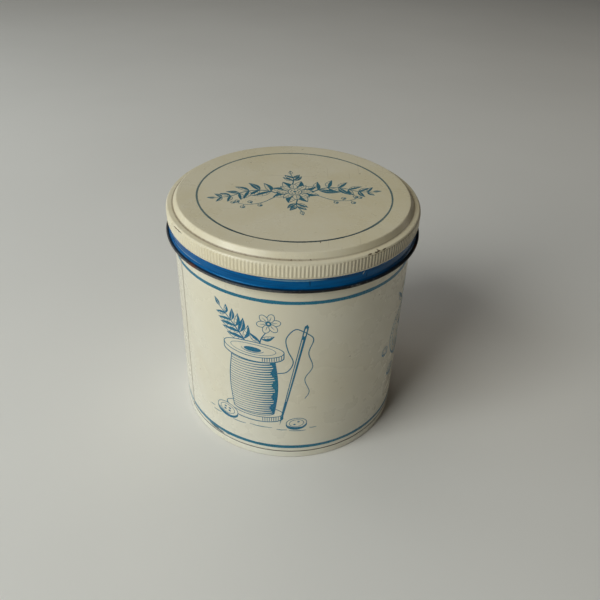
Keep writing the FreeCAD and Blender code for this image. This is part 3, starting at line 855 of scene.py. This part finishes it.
ring_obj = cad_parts["bottom_seam_compound"]
ring_obj.data.materials.clear()
ring_obj.data.materials.append(compound_material())


# ------------------------------------------------------------- printed lines
def closed_film(name, tops, bottoms, tris, edges, material):
    """Thin closed film from matching top and bottom points."""
    n = len(tops)
    faces = [tuple(t) for t in tris] + [(t[2] + n, t[1] + n, t[0] + n) for t in tris]
    faces += [(b, a, a + n, b + n) for a, b in edges]
    mesh = bpy.data.meshes.new(name)
    mesh.from_pydata((np.concatenate([tops, bottoms]) * MM).tolist(), [], faces)
    mesh.polygons.foreach_set("use_smooth", np.ones(len(faces), bool))
    mesh.update()
    mesh.set_sharp_from_angle(angle=40.0 * D2R)
    obj = bpy.data.objects.new(name, mesh)
    bpy.context.scene.collection.objects.link(obj)
    obj.data.materials.append(material)
    return obj


def smooth_noise(rng, n, width):
    k = np.ones(width) / width
    v = rng.normal(0.0, 1.0, n)
    v = np.real(np.fft.ifft(np.fft.fft(v) * np.fft.fft(np.pad(k, (0, n - width)))))
    return v / (np.std(v) + 1e-9)


def wall_point(a, z, lift):
    a, z = np.asarray(a, float), np.asarray(z, float)
    r = 55.0 + outer_offset(a, z) + lift
    return np.stack([r * np.sin(a), -r * np.cos(a), z + 0.0 * a], -1)


def wall_line(name, z0, width, step, seed):
    """Line printed round the wall. Its ends meet at the side seam with a small step."""
    rng = np.random.default_rng(seed)
    gap = 0.28 / 55.0
    n = 720
    a = np.linspace(SEAM_LINE + gap, SEAM_LINE + 2.0 * math.pi - gap, n)
    run = (a - a[0]) / (a[-1] - a[0])
    mid = z0 + step * (run - 0.5) + 0.03 * smooth_noise(rng, n, 41)
    half = 0.5 * width * (1.0 + 0.06 * smooth_noise(rng, n, 23))
    up = half + 0.018 * rng.normal(0.0, 1.0, n)
    dn = half + 0.018 * rng.normal(0.0, 1.0, n)
    z = np.stack([mid - dn, mid + up], 1).ravel()
    aa = np.repeat(a, 2)
    tris = []
    for i in range(n - 1):
        p = 2 * i
        tris += [(p, p + 2, p + 3), (p, p + 3, p + 1)]
    edges = [(2 * i, 2 * i + 2) for i in range(n - 1)] + [(2 * i + 3, 2 * i + 1) for i in range(n - 1)]
    edges += [(1, 0), (2 * n - 2, 2 * n - 1)]
    obj = closed_film(name, wall_point(aa, z, 0.022), wall_point(aa, z, -0.03), tris, edges, MAT_LINE)
    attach(obj, "can")
    return obj


def lid_line(name, x0, y0, r0, width, seed):
    """Ring printed on the lid, a little out of register with the pressed panel."""
    rng = np.random.default_rng(seed)
    n = 720
    a = np.arange(n) * 2.0 * math.pi / n
    mid = r0 + 0.02 * smooth_noise(rng, n, 61)
    half = 0.5 * width * (1.0 + 0.10 * smooth_noise(rng, n, 25))
    inn, out = mid - half + 0.012 * rng.normal(0, 1, n), mid + half + 0.012 * rng.normal(0, 1, n)
    r = np.stack([inn, out], 1).ravel()
    aa = np.repeat(a, 2)
    xy = np.stack([x0 + r * np.sin(aa), y0 - r * np.cos(aa)], 1)
    tops = np.column_stack([xy, np.full(2 * n, LID_TOP + 0.022)])
    bots = np.column_stack([xy, np.full(2 * n, LID_TOP - 0.03)])
    tris, edges = [], []
    for i in range(n):
        j = (i + 1) % n
        p, q = 2 * i, 2 * j
        tris += [(p, p + 1, q + 1), (p, q + 1, q)]
        edges += [(p + 1, q + 1), (q, p)]
    obj = closed_film(name, tops, bots, tris, edges, MAT_RING)
    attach(obj, "lid")
    return obj


wall_line("upper_printed_line", 93.1, 1.70, 0.20, 3)
wall_line("lower_printed_line", 7.6, 1.85, 0.55, 4)
lid_line("lid_printed_ring", 0.40, -0.85, 43.9, 0.86, 5)


# ------------------------------------------------------------------- ornament
class Drawing:
    """Flat line drawing: later shapes cover earlier ones, in ink or in bare enamel."""

    def __init__(self):
        self.shapes = []

    def area(self, pts, ink=True):
        pts = [(float(x), float(y)) for x, y in pts]
        s = sum(pts[i][0] * pts[(i + 1) % len(pts)][1] - pts[(i + 1) % len(pts)][0] * pts[i][1] for i in range(len(pts)))
        if abs(s) < 1e-5:
            return
        self.shapes.append((pts if s > 0 else pts[::-1], ink))

    def curve(self, pts, per=8):
        p = np.asarray(pts, float)
        if len(p) < 3:
            return p
        q = np.vstack([2 * p[0] - p[1], p, 2 * p[-1] - p[-2]])
        out = []
        for i in range(1, len(q) - 2):
            for k in range(per):
                t = k / per
                out.append(0.5 * ((2 * q[i]) + (-q[i - 1] + q[i + 1]) * t + (2 * q[i - 1] - 5 * q[i] + 4 * q[i + 1] - q[i + 2]) * t * t
                                  + (-q[i - 1] + 3 * q[i] - 3 * q[i + 1] + q[i + 2]) * t ** 3))
        out.append(p[-1])
        return np.array(out)

    def line(self, pts, w0, w1=None, mid=None, ink=True, smooth=True, per=8):
        p = self.curve(pts, per) if smooth else np.asarray(pts, float)
        w1 = w0 if w1 is None else w1
        n = len(p)
        t = np.linspace(0.0, 1.0, n)
        w = w0 + (w1 - w0) * t
        if mid is not None:
            w = w + (mid - 0.5 * (w0 + w1)) * np.sin(math.pi * t)
        d = np.gradient(p, axis=0)
        d /= np.maximum(np.linalg.norm(d, axis=1), 1e-9)[:, None]
        nrm = np.stack([-d[:, 1], d[:, 0]], 1)
        left, right = p + nrm * w[:, None] / 2, p - nrm * w[:, None] / 2
        for i in range(n - 1):
            self.area([right[i], right[i + 1], left[i + 1], left[i]], ink)

    def oval(self, c, rx, ry, rot=0.0, ink=True, n=40, a0=0.0, a1=360.0):
        full = abs(a1 - a0 - 360.0) < 1e-6
        t = np.linspace(a0 * D2R, a1 * D2R, n, endpoint=not full)
        x, y = rx * np.cos(t), ry * np.sin(t)
        cr, sr = math.cos(rot * D2R), math.sin(rot * D2R)
        self.area(np.stack([c[0] + x * cr - y * sr, c[1] + x * sr + y * cr], 1), ink)

    def ring(self, c, rx, ry, w, rot=0.0, n=44):
        self.oval(c, rx, ry, rot, True, n)
        self.oval(c, rx - w, ry - w, rot, False, n)

    def arc(self, c, rx, ry, a0, a1, w0, w1=None, rot=0.0, n=20, mid=None):
        t = np.linspace(a0 * D2R, a1 * D2R, n)
        x, y = rx * np.cos(t), ry * np.sin(t)
        cr, sr = math.cos(rot * D2R), math.sin(rot * D2R)
        self.line(np.stack([c[0] + x * cr - y * sr, c[1] + x * sr + y * cr], 1), w0, w1, mid, smooth=False)

    def leaf(self, a, b, width, bend=0.0, style="half", edge=0.28, n=14):
        a, b = np.asarray(a, float), np.asarray(b, float)
        d = b - a
        length = np.linalg.norm(d)
        d = d / length
        nr = np.array([-d[1], d[0]])
        t = np.linspace(0.0, 1.0, n)
        mid = a + np.outer(t, d) * length + np.outer(np.sin(math.pi * t) * bend * length, nr)
        w = width * np.sin(math.pi * np.power(t, 0.85)) * (1.0 - 0.25 * t)
        left, right = mid + nr * w[:, None], mid - nr * w[:, None]
        self.area(np.vstack([right, left[::-1][1:-1]]), True)
        if style == "solid":
            self.line(mid[1:-2], 0.30, 0.12, ink=False, smooth=False)
            return
        wi = w - edge
        keep = np.where(wi > 0.18)[0]
        if len(keep) < 3:
            return
        inner = mid[keep] + nr * wi[keep][:, None]
        rib = mid[keep] + nr * 0.10
        self.area(np.vstack([rib, inner[::-1]]), False)
        if style == "open":
            inner = mid[keep] - nr * wi[keep][:, None]
            rib = mid[keep] - nr * 0.10
            self.area(np.vstack([inner, rib[::-1]]), False)
        for k in range(3, n - 3, 3):
            tip = mid[k + 1] + nr * max(wi[k + 1], 0.0) * 0.85
            self.line([mid[k], tip], 0.22, 0.16, smooth=False)

    def blossom(self, c, size, petals=6, turn=0.0):
        for i in range(petals):
            t = (turn + 360.0 * i / petals) * D2R
            d = np.array([math.cos(t), math.sin(t)])
            m = np.array(c) + d * size * 0.58
            self.oval(m, size * 0.46, size * 0.33, t / D2R, True, 22)
            self.oval(m, size * 0.46 - 0.30, size * 0.33 - 0.30, t / D2R, False, 22)
            self.line([np.array(c) + d * size * 0.30, np.array(c) + d * size * 0.72], 0.34, 0.12, smooth=False)
        self.oval(c, size * 0.26, size * 0.26, 0, True, 20)
        self.oval(c, size * 0.10, size * 0.10, 0, False, 12)

    def button(self, c, rx, ry, rot=0.0, deep=1.1, holes=4):
        c = np.asarray(c, float)
        low = c + np.array([0.0, -deep])
        self.oval(low, rx, ry, rot, True)
        self.oval(c, rx, ry, rot, True)
        self.oval(c, rx - 0.34, ry - 0.34, rot, False)
        self.ring(c, rx * 0.70, ry * 0.70, 0.28, rot)
        self.arc(c, rx * 0.85, ry * 0.85, 200, 290, 0.2, 0.2, rot, 14, 0.55)
        cr, sr = math.cos(rot * D2R), math.sin(rot * D2R)
        for i in range(holes):
            t = (45.0 + 360.0 * i / holes) * D2R
            x, y = rx * 0.30 * math.cos(t), ry * 0.30 * math.sin(t)
            self.oval(c + np.array([x * cr - y * sr, x * sr + y * cr]), rx * 0.12, ry * 0.12, rot, True, 14)


def spool_drawing():
    """Spool of thread with a needle, two buttons and a leafy sprig."""
    d = Drawing()
    # Sprigs behind the spool.
    stem = d.curve([(-5, 15), (-9, 21), (-13, 26), (-18.5, 31.5)], 10)
    d.line(stem, 0.75, 0.35, smooth=False)
    for k, (s, ln, wd) in enumerate([(5, 8.5, 1.7), (10, 8.5, 1.8), (15, 7.5, 1.6), (20, 6.5, 1.4), (25, 5.0, 1.2)]):
        a = stem[s]
        t = stem[s + 1] - stem[s - 1]
        ang = math.atan2(t[1], t[0])
        for side, style in ((1, "half"), (-1, "solid" if k % 2 else "half")):
            b = a + ln * np.array([math.cos(ang + side * 0.85), math.sin(ang + side * 0.85)])
            d.leaf(a, b, wd, 0.06 * side, style)
    d.leaf(stem[-1], stem[-1] + np.array([-2.5, 4.0]), 1.1, 0.0, "solid")
    stem = d.curve([(0, 15), (1.0, 20), (3.5, 24.5)], 10)
    d.line(stem, 0.7, 0.4, smooth=False)
    d.leaf(stem[6], stem[6] + np.array([-5.2, 4.6]), 1.5, 0.08, "half")
    d.leaf(stem[10], stem[10] + np.array([6.0, 2.2]), 1.5, -0.08, "half")
    d.blossom((4.2, 28.6), 5.2, 6, 12)
    # Flanges and wound thread.
    cx = -3.0
    d.oval((cx, -26.2), 14.2, 4.1, 0, True, 56)
    d.area([(cx - 14.2, -26.2), (cx + 14.2, -26.2), (cx + 14.2, -23.2), (cx - 14.2, -23.2)], True)
    d.oval((cx, -26.0), 13.7, 3.75, 0, False, 56)
    d.area([(cx - 13.7, -26.0), (cx + 13.7, -26.0), (cx + 13.7, -23.2), (cx - 13.7, -23.2)], False)
    for i in range(9):
        u = 4.5 + i * 1.05
        v = -26.0 - 3.6 * math.sqrt(max(0.0, 1.0 - (u / 13.7) ** 2))
        d.line([(cx + u, v + 0.1), (cx + u, v + 3.2 - 0.10 * i)], 0.34, 0.34, smooth=False)
    d.oval((cx, -23.2), 14.2, 4.1, 0, True, 56)
    d.oval((cx, -23.2), 13.75, 3.65, 0, False, 56)
    half = lambda v: 10.2 + 1.5 * math.sin(math.pi * (v + 23.0) / 32.0)
    vs = np.linspace(-23.4, 9.4, 26)
    outline = [(cx - half(v), v) for v in vs] + [(cx + half(v), v) for v in vs[::-1]]
    base = [(cx + half(-23.4) * math.cos(t), -23.4 + 2.6 * math.sin(t)) for t in np.linspace(math.pi, 2 * math.pi, 26)]
    d.area(base, True)
    d.area(outline, True)
    inner = [(cx - half(v) + 0.42, v) for v in vs] + [(cx + half(v) - 0.42, v) for v in vs[::-1]]
    d.area([(cx + (x - cx) * 0.965, y + 0.4) for x, y in base], False)
    d.area(inner, False)
    for i, v in enumerate(np.arange(-22.6, 10.6, 1.42)):
        h = half(min(v, 9.0)) - 0.3
        u = np.linspace(-h, h, 22)
        p = np.stack([cx + u, v - 2.3 * np.sqrt(np.maximum(0.0, 1.0 - (u / (h + 0.6)) ** 2)) + 0.6 * u / h], 1)
        d.line(p, 0.30, 0.95, 0.42, smooth=False)
    shade = [(cx + half(v) - 0.2, v) for v in vs] + [(cx + half(v) - 2.2 - 0.9 * math.sin(v * 0.9), v - 0.6) for v in vs[::-1]]
    d.area(shade, True)
    # Top flange.
    d.area([(cx - 14.2, 10.6), (cx + 14.2, 10.6), (cx + 14.2, 13.4), (cx - 14.2, 13.4)], True)
    d.oval((cx, 10.6), 14.2, 4.3, 0, True, 56)
    d.oval((cx, 10.8), 13.75, 3.85, 0, False, 56)
    d.area([(cx - 13.75, 10.8), (cx + 13.75, 10.8), (cx + 13.75, 13.4), (cx - 13.75, 13.4)], False)
    for i in range(9):
        u = 4.5 + i * 1.05
        v = 10.8 - 3.7 * math.sqrt(max(0.0, 1.0 - (u / 13.75) ** 2))
        d.line([(cx + u, v + 0.1), (cx + u, v + 2.8)], 0.34, 0.34, smooth=False)
    d.oval((cx, 13.4), 14.2, 4.3, 0, True, 56)
    d.oval((cx, 13.4), 13.75, 3.9, 0, False, 56)
    d.ring((cx, 13.4), 10.6, 2.95, 0.26)
    d.oval((cx, 13.4), 4.0, 1.30, 0, True, 30)
    d.arc((cx, 13.4), 5.2, 1.75, 180, 350, 0.2, 0.2, 0, 18, 0.4)
    # Needle and its thread.
    tip, eye = np.array([9.5, -31.0]), np.array([20.5, 29.0])
    ax = (eye - tip) / np.linalg.norm(eye - tip)
    nr = np.array([-ax[1], ax[0]])
    body = [tip, tip + ax * 8 + nr * 0.55, tip + ax * 30 + nr * 0.80, eye - ax * 6 + nr * 0.95, eye - ax * 1.2 + nr * 0.95, eye,
            eye - ax * 1.2 - nr * 0.95, eye - ax * 6 - nr * 0.95, tip + ax * 30 - nr * 0.80, tip + ax * 8 - nr * 0.55]
    d.area([p * 1.0 for p in body], True)
    lite = [tip + ax * 16 + nr * 0.20, tip + ax * 30 + nr * 0.42, eye - ax * 8.2 + nr * 0.50, eye - ax * 8.2 + nr * 0.02, tip + ax * 30 - nr * 0.02, tip + ax * 16 + nr * 0.0]
    d.area(lite, False)
    slot = [eye - ax * 6.6, eye - ax * 5.8 + nr * 0.40, eye - ax * 2.6 + nr * 0.40, eye - ax * 1.8, eye - ax * 2.6 - nr * 0.40, eye - ax * 5.8 - nr * 0.40]
    d.area(slot, False)
    d.line([(8.2, 1.5), (12.6, 3.0), (15.0, 8.5), (12.6, 15.0), (11.8, 21.5), (15.5, 26.5), (19.7, 25.0)], 0.50, 0.50, per=9)
    d.line([(19.7, 25.0), (23.4, 21.0), (21.6, 13.5), (23.6, 5.5), (20.4, -1.5), (22.6, -9.0), (20.8, -13.5)], 0.50, 0.32, per=9)
    # Buttons and a few ground strokes.
    d.button((-17.0, -28.6), 6.0, 4.1, -8.0)
    d.button((17.4, -29.2), 5.0, 3.4, 10.0, 1.0, 2)
    for u0, u1, v in ((-26, -21, -33.6), (-14, -7, -33.9), (-5, 6, -33.2), (8, 13, -33.8), (14, 22, -34.2), (23.5, 27, -32.6), (-28, -25, -31.4)):
        d.line([(u0, v), (0.5 * (u0 + u1), v - 0.15), (u1, v + 0.1)], 0.22, 0.18, 0.42, per=5)
    return d


def spray_drawing():
    """Flower with a leafy spray to each side, for the lid."""
    d = Drawing()
    rng = np.random.default_rng(23)
    for side in (-1.0, 1.0):
        stem = d.curve([(side * 6, -2.0), (side * 14, 2.5), (side * 22, 2.0), (side * 29, -2.0), (side * 35.5, -3.0)], 10)
        d.line(stem, 0.80, 0.36, smooth=False)
        for k, s in enumerate((6, 12, 18, 24, 30, 36)):
            a = stem[s]
            t = stem[s + 1] - stem[s - 1]
            ang = math.atan2(t[1], t[0])
            for flip, style in ((1, "half"), (-1, "solid" if (k + (side > 0)) % 2 else "half")):
                ln = (9.4 - 0.85 * k) * (1.0 + 0.08 * rng.normal())
                turn = ang + flip * (0.90 + 0.06 * rng.normal())
                b = a + ln * np.array([math.cos(turn), math.sin(turn)])
                d.leaf(a, b, 1.95 - 0.16 * k, 0.07 * flip, style)
        d.leaf(stem[-1], stem[-1] + np.array([side * 4.2, 0.6]), 1.0, 0.05, "solid")
        # Thin tendril with berries.
        ten = d.curve([(side * 9, -4), (side * 16, -9.5), (side * 23, -10.5), (side * 27.5, -8.0)], 9)
        d.line(ten, 0.45, 0.26, smooth=False)
        for s, up in ((9, -1), (14, 1), (19, -1), (23, 1), (27, 0)):
            p = ten[min(s, len(ten) - 1)]
            q = p + np.array([side * 0.8, 2.3 * up])
            if up:
                d.line([p, q], 0.26, 0.26, smooth=False)
            d.ring(q, 1.15, 1.15, 0.34, 0, 18)
            d.oval(q + np.array([0.25, -0.25]), 0.5, 0.5, 0, True, 12)
    for up in (-1.0, 1.0):
        stem = d.curve([(0, up * 8), (1.0 * up, up * 13), (0.4, up * 18.5)], 9)
        d.line(stem, 0.6, 0.34, smooth=False)
        for s, ln in ((6, 6.4), (11, 5.2)):
            for flip in (-1, 1):
                b = stem[s] + ln * np.array([math.cos(math.pi / 2 * up + flip * 0.8), math.sin(math.pi / 2 * up + flip * 0.8)])
                d.leaf(stem[s], b, 1.35, 0.06 * flip, "half" if flip > 0 else "solid")
        d.leaf(stem[-1], stem[-1] + np.array([0.3, up * 4.0]), 1.1, 0.0, "open")
    # The flower: two rings of petals round a dotted heart.
    for i in range(8):
        t = (22.5 + 45.0 * i) * D2R
        v = np.array([math.cos(t), math.sin(t)])
        d.leaf(v * 4.0, v * 11.4, 2.5, 0.0, "half", 0.32)
    for i in range(8):
        t = 45.0 * i * D2R
        v = np.array([math.cos(t), math.sin(t)])
        d.leaf(v * 2.6, v * 8.6, 2.1, 0.0, "open", 0.32)
    d.oval((0, 0), 3.3, 3.3, 0, True, 32)
    d.oval((0, 0), 2.9, 2.9, 0, False, 32)
    for i in range(8):
        t = 45.0 * i * D2R
        d.oval((1.9 * math.cos(t), 1.9 * math.sin(t)), 0.42, 0.42, 0, True, 12)
    d.oval((0, 0), 0.8, 0.8, 0, True, 16)
    return d


def button_drawing():
    """Large button sewn on with a few stitches, and two small ones."""
    d = Drawing()
    c = np.array([0.0, 2.0])
    d.oval(c + np.array([0.8, -1.6]), 15.2, 15.2, 0, True, 72)
    d.oval(c, 15.2, 15.2, 0, True, 72)
    d.oval(c, 14.6, 14.6, 0, False, 72)
    d.ring(c, 12.2, 12.2, 0.55, 0, 64)
    for i in range(36):
        t = 10.0 * i * D2R
        v = np.array([math.cos(t), math.sin(t)])
        d.line([c + v * 12.7, c + v * 14.2], 0.34, 0.34, smooth=False)
    d.ring(c, 8.2, 8.2, 0.40, 0, 56)
    for t0 in range(200, 300, 7):
        v = np.array([math.cos(t0 * D2R), math.sin(t0 * D2R)])
        d.line([c + v * 8.8, c + v * 11.2], 0.30, 0.30, smooth=False)
    for sx in (-1, 1):
        for sy in (-1, 1):
            d.oval(c + np.array([sx * 3.0, sy * 3.0]), 1.5, 1.5, 0, True, 22)
    for s in (-1, 1):
        for o in (-0.55, 0.0, 0.55):
            d.line([c + np.array([-3.0, s * 3.0 + o]), c + np.array([3.0, -s * 3.0 + o])], 0.36, 0.36, smooth=False)
    d.line([c + np.array([2.6, -3.0]), c + np.array([7.0, -9.5]), c + np.array([5.0, -17.5]), c + np.array([10.5, -22.0]), c + np.array([9.0, -28.0])], 0.5, 0.4, per=10)
    d.button((-19.5, -2.5), 2.6, 2.6, 0, 0.5, 2)
    d.button((-9.0, -20.5), 4.2, 3.0, -6, 0.8, 4)
    d.leaf((-3.0, 19.0), (-11.0, 27.0), 1.9, 0.08, "half")
    d.leaf((-1.0, 19.5), (1.5, 30.0), 2.0, -0.06, "half")
    d.leaf((1.5, 19.0), (11.5, 25.0), 1.9, -0.08, "solid")
    return d


def sprig_drawing():
    """Upright leafy stem with blossoms, tied with a bow."""
    d = Drawing()
    main = d.curve([(0, -24), (-1.2, -12), (1.0, 2), (-0.6, 14), (0.4, 22)], 10)
    d.line(main, 0.9, 0.5, smooth=False)
    for k, s in enumerate((10, 15, 20, 25, 30, 35)):
        t = main[s + 1] - main[s - 1]
        ang = math.atan2(t[1], t[0])
        for flip in (-1, 1):
            ln = 10.5 - 0.8 * k
            b = main[s] + ln * np.array([math.cos(ang + flip * 0.95), math.sin(ang + flip * 0.95)])
            d.leaf(main[s], b, 2.1 - 0.14 * k, 0.08 * flip, "half" if (k + flip) % 2 else "solid")
    for side in (-1.0, 1.0):
        br = d.curve([(0, -4), (side * 7, 4), (side * 11.5, 13)], 10)
        d.line(br, 0.6, 0.4, smooth=False)
        d.blossom(br[-1] + np.array([side * 0.8, 3.4]), 4.6, 6, 15 * side)
    d.blossom((0.5, 27.5), 5.8, 7, 0)
    for side in (-1.0, 1.0):
        d.leaf((side * 0.6, -19), (side * 10.5, -15.5), 3.0, 0.05 * side, "open", 0.36)
        d.leaf((side * 0.6, -19.5), (side * 7.5, -29.5), 1.6, -0.08 * side, "half")
    d.oval((0, -19), 1.5, 1.9, 0, True, 20)
    d.oval((0, -18.8), 0.9, 1.3, 0, False, 20)
    return d


def inside(poly, px, py):
    """Which of the points lie in the polygon."""
    hit = np.zeros(len(px), bool)
    n = len(poly)
    for i in range(n):
        (x0, y0), (x1, y1) = poly[i], poly[(i + 1) % n]
        if y0 == y1:
            continue
        cross = (y0 > py) != (y1 > py)
        hit ^= cross & (px < (x1 - x0) * (py - y0) / (y1 - y0) + x0)
    return hit


def print_film(name, drawing, point, body, grid, material):
    """Thin film of ink: the drawing is cut into triangles and each takes its topmost shape."""
    verts, edges = [], []
    for pts, ink in drawing.shapes:
        base, n = len(verts), len(pts)
        verts.extend(Vector((p[0], p[1])) for p in pts)
        edges.extend((base + i, base + (i + 1) % n) for i in range(n))
    xs = [v[0] for v in verts]
    ys = [v[1] for v in verts]
    if grid:
        u = math.floor(min(xs) / grid) * grid + 0.013
        while u < max(xs) + grid:
            base = len(verts)
            verts += [Vector((u, min(ys) - 1.0)), Vector((u, max(ys) + 1.0))]
            edges.append((base, base + 1))
            u += grid
    out_v, out_e, out_f, ov, oe, of = delaunay_2d_cdt(verts, edges, [], 0, 1e-5, False)
    xy = np.array([[v[0], v[1]] for v in out_v])
    tri = np.array(out_f, int)
    mid = xy[tri].mean(axis=1)
    inked = np.zeros(len(tri), bool)
    order = np.argsort(mid[:, 0])
    sorted_x = mid[order, 0]
    for pts, ink in drawing.shapes:
        p = np.array(pts)
        lo, hi = np.searchsorted(sorted_x, [p[:, 0].min(), p[:, 0].max()])
        near = order[lo:hi]
        near = near[(mid[near, 1] > p[:, 1].min()) & (mid[near, 1] < p[:, 1].max())]
        inked[near[inside(pts, mid[near, 0], mid[near, 1])]] = ink
    e1, e2 = xy[tri[:, 1]] - xy[tri[:, 0]], xy[tri[:, 2]] - xy[tri[:, 0]]
    turn = e1[:, 0] * e2[:, 1] - e1[:, 1] * e2[:, 0]
    tri[turn < 0] = tri[turn < 0][:, ::-1]
    tri = tri[inked & (np.abs(turn) > 1e-9)]
    used, back = np.unique(tri.ravel(), return_inverse=True)
    tris = [tuple(int(i) for i in t) for t in back.reshape(-1, 3)]
    flat = xy[used]
    half = set()
    for t in tris:
        for i in range(3):
            half.add((t[i], t[(i + 1) % 3]))
    border = sorted((a, b) for a, b in half if (b, a) not in half)
    obj = closed_film(name, point(flat[:, 0], flat[:, 1], 0.022), point(flat[:, 0], flat[:, 1], -0.03), tris, border, material)
    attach(obj, body)
    return obj


def on_wall(mid_deg, z0, size=1.0):
    def point(u, v, lift):
        return wall_point(mid_deg * D2R + u * size / 55.0, z0 + v * size, lift)
    return point


def on_lid(x0, y0, turn, size=1.0):
    c, s = math.cos(turn * D2R), math.sin(turn * D2R)

    def point(u, v, lift):
        x, y = x0 + size * (u * c - v * s), y0 + size * (u * s + v * c)
        return np.stack([x, y, np.full(len(x), LID_TOP + lift)], 1)
    return point


print_film("lid_printed_spray", spray_drawing(), on_lid(0.4, -0.35, 9.0), "lid", 0, MAT_INK_LID)
print_film("front_printed_spool", spool_drawing(), on_wall(-13.0, 53.0), "can", 1.6, MAT_INK)
print_film("right_printed_button", button_drawing(), on_wall(76.0, 52.0), "can", 1.6, MAT_INK)
print_film("back_printed_sprig", sprig_drawing(), on_wall(163.0, 51.0), "can", 1.6, MAT_INK)
print_film("left_printed_button", button_drawing(), on_wall(-114.0, 52.0, 0.92), "can", 1.6, MAT_INK)


# ----------------------------------------------------------- floor and lights
def make_floor():
    n, size = 24, 3.0
    verts = [((i / n - 0.5) * 2 * size, (j / n - 0.5) * 2 * size, 0.0) for j in range(n + 1) for i in range(n + 1)]
    faces = [(j * (n + 1) + i, j * (n + 1) + i + 1, (j + 1) * (n + 1) + i + 1, (j + 1) * (n + 1) + i) for j in range(n) for i in range(n)]
    mesh = bpy.data.meshes.new("floor")
    mesh.from_pydata(verts, [], faces)
    mesh.update()
    obj = bpy.data.objects.new("floor", mesh)
    bpy.context.scene.collection.objects.link(obj)
    obj.data.materials.append(floor_material())


make_floor()


def area_light(name, place, target, size, power, tint):
    data = bpy.data.lights.new(name, "AREA")
    data.shape = "RECTANGLE"
    data.size, data.size_y = size
    data.energy = power
    data.color = tint
    obj = bpy.data.objects.new(name, data)
    obj.location = place
    obj.rotation_euler = (Vector(target) - Vector(place)).to_track_quat("-Z", "Y").to_euler()
    bpy.context.scene.collection.objects.link(obj)
    return obj


def at(azimuth, elevation, distance):
    a, e = azimuth * D2R, elevation * D2R
    return (distance * math.sin(a) * math.cos(e), -distance * math.cos(a) * math.cos(e), 0.06 + distance * math.sin(e))


area_light("window_front", at(-50.0, 34.0, 1.5), (0.0, 0.0, 0.06), (0.9, 1.1), 15.8, (0.97, 1.0, 0.96))
area_light("window_side", at(-76.0, 30.0, 1.5), (0.0, 0.0, 0.06), (0.9, 0.9), 3.6, (0.74, 0.87, 1.0))
area_light("ceiling", at(-150.0, 62.0, 1.6), (0.0, 0.0, 0.06), (1.2, 1.0), 3.0, (1.0, 0.96, 0.88))
area_light("strip_left", at(-113.0, 24.0, 1.1), (0.0, 0.0, 0.08), (0.35, 0.6), 0.7, (0.80, 0.92, 1.0))
area_light("strip_right", at(119.0, 20.0, 1.1), (0.0, 0.0, 0.08), (0.22, 0.6), 0.35, (1.0, 0.90, 0.78))

world = bpy.data.worlds.new("studio")
bpy.context.scene.world = world
world.use_nodes = True
world.node_tree.nodes["Background"].inputs[0].default_value = (1.0, 0.84, 0.66, 1.0)
world.node_tree.nodes["Background"].inputs[1].default_value = 0.012

scene = bpy.context.scene
scene.view_settings.view_transform = "Standard"

# --------------------------------------------------------------------- camera
cam_data = bpy.data.cameras.new("camera")
cam_data.sensor_width = 36.0
cam_data.sensor_fit = "HORIZONTAL"
cam_data.lens = 38.108
cam_data.clip_start = 0.01
cam = bpy.data.objects.new("camera", cam_data)
cam.matrix_world = Matrix((
    (0.99933897, -0.03635418, 0.0, 0.00447089),
    (0.02128449, 0.58508864, -0.81068999, -0.26165099),
    (0.02947197, 0.8101541, 0.58547566, 0.24414557),
    (0.0, 0.0, 0.0, 1.0)))
bpy.context.scene.collection.objects.link(cam)
scene.camera = cam
